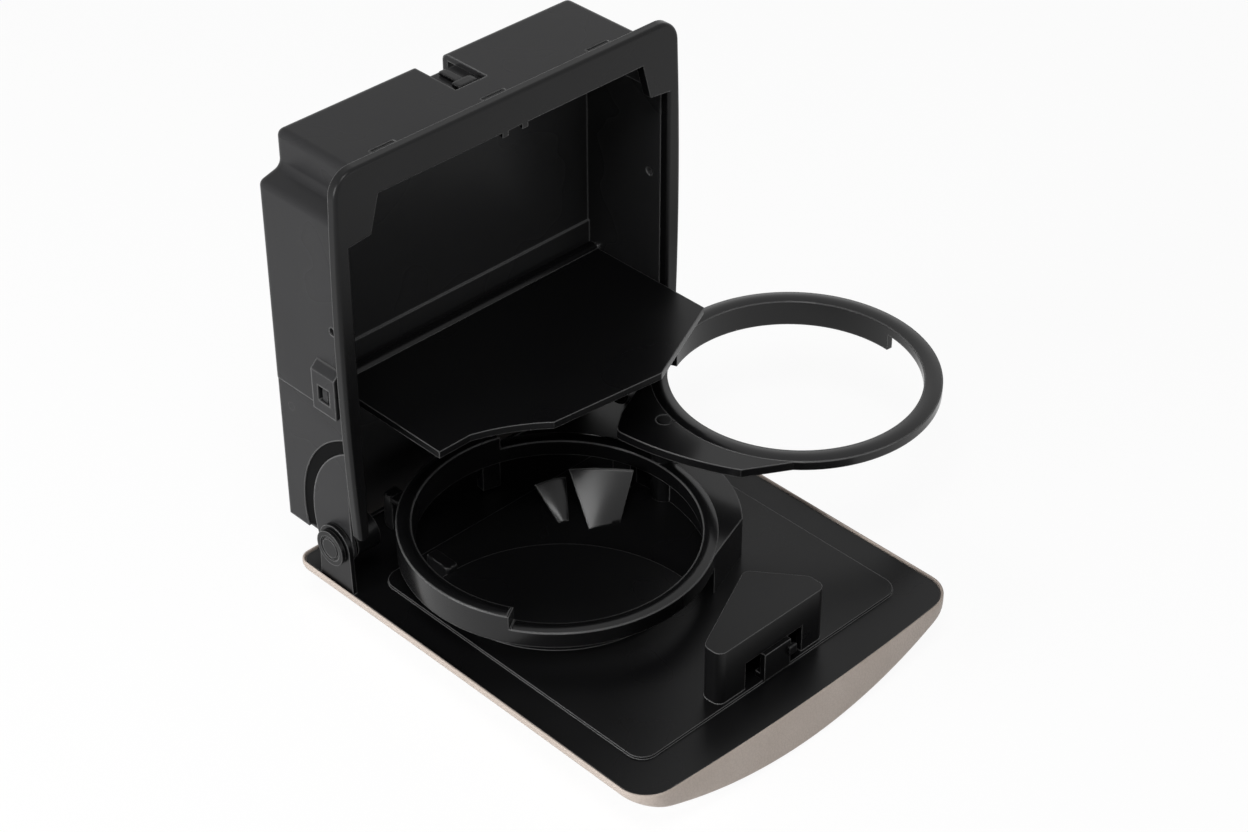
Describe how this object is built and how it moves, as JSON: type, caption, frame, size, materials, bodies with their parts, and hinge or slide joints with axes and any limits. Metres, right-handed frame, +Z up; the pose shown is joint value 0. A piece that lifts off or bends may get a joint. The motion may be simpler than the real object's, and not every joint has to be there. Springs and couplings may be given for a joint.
{
  "type": "fold-down car cup holder",
  "caption": "Fold-down cup holder for a car console: a flanged black well, a crowned hinged lid carrying a fixed ring, and a second ring that swings out sideways.",
  "frame": {"origin": "middle of the console cut-out, on the plane of the flange's rear face", "axes": "+X to the right, +Y back into the console, +Z up; the open lid lies towards -Y"},
  "size_m": [0.182, 0.148, 0.153],
  "materials": {
    "satin_black": "satin moulded plastic",
    "shell_black": "plain moulded plastic",
    "ring_black": "half-gloss moulded plastic",
    "beige_skin": "soft grained skin",
    "spring_steel": "drawn wire"
  },
  "bodies": {
    "housing": {"front_frame": "satin_black", "rear_shell": "shell_black", "latch_case": "shell_black", "latch_spring": "spring_steel", "mounting_clip_left": "shell_black", "mounting_clip_right": "shell_black", "hinge_pin_left": "satin_black", "hinge_pin_right": "satin_black", "lid_spring": "spring_steel", "flap_rod": "spring_steel"},
    "lid": {"lid_cover": "beige_skin", "lid_panel": "satin_black", "latch_striker": "satin_black", "fixed_ring": "ring_black", "pivot_pin": "satin_black", "pivot_washer": "spring_steel"},
    "ring": {"swing_ring": "ring_black"},
    "flap": {"rear_flap": "satin_black"},
    "latch": {"latch_slider": "satin_black"}
  },
  "joints": [
    {"name": "lid_fold", "type": "hinge", "parent": "housing", "child": "lid", "pos_m": [0, 0.0095, -0.057], "axis": [-1, 0, 0], "range_deg": [0, 90]},
    {"name": "ring_swing", "type": "hinge", "parent": "lid", "child": "ring", "pos_m": [0.0335, -0.026, -0.045], "axis": [0, 0, -1], "range_deg": [0, 150]},
    {"name": "flap_fold", "type": "hinge", "parent": "housing", "child": "flap", "pos_m": [0, 0.0264, -0.019], "axis": [-1, 0, 0], "range_deg": [0, 90]},
    {"name": "latch_push", "type": "slide", "parent": "housing", "child": "latch", "axis": [0, 1, 0], "range_m": [0, 0.004]}
  ],
  "couplings": [
    {"joint": "ring_swing", "follows": "lid_fold", "ratio": 1.6667},
    {"joint": "flap_fold", "follows": "lid_fold", "ratio": 1}
  ]
}
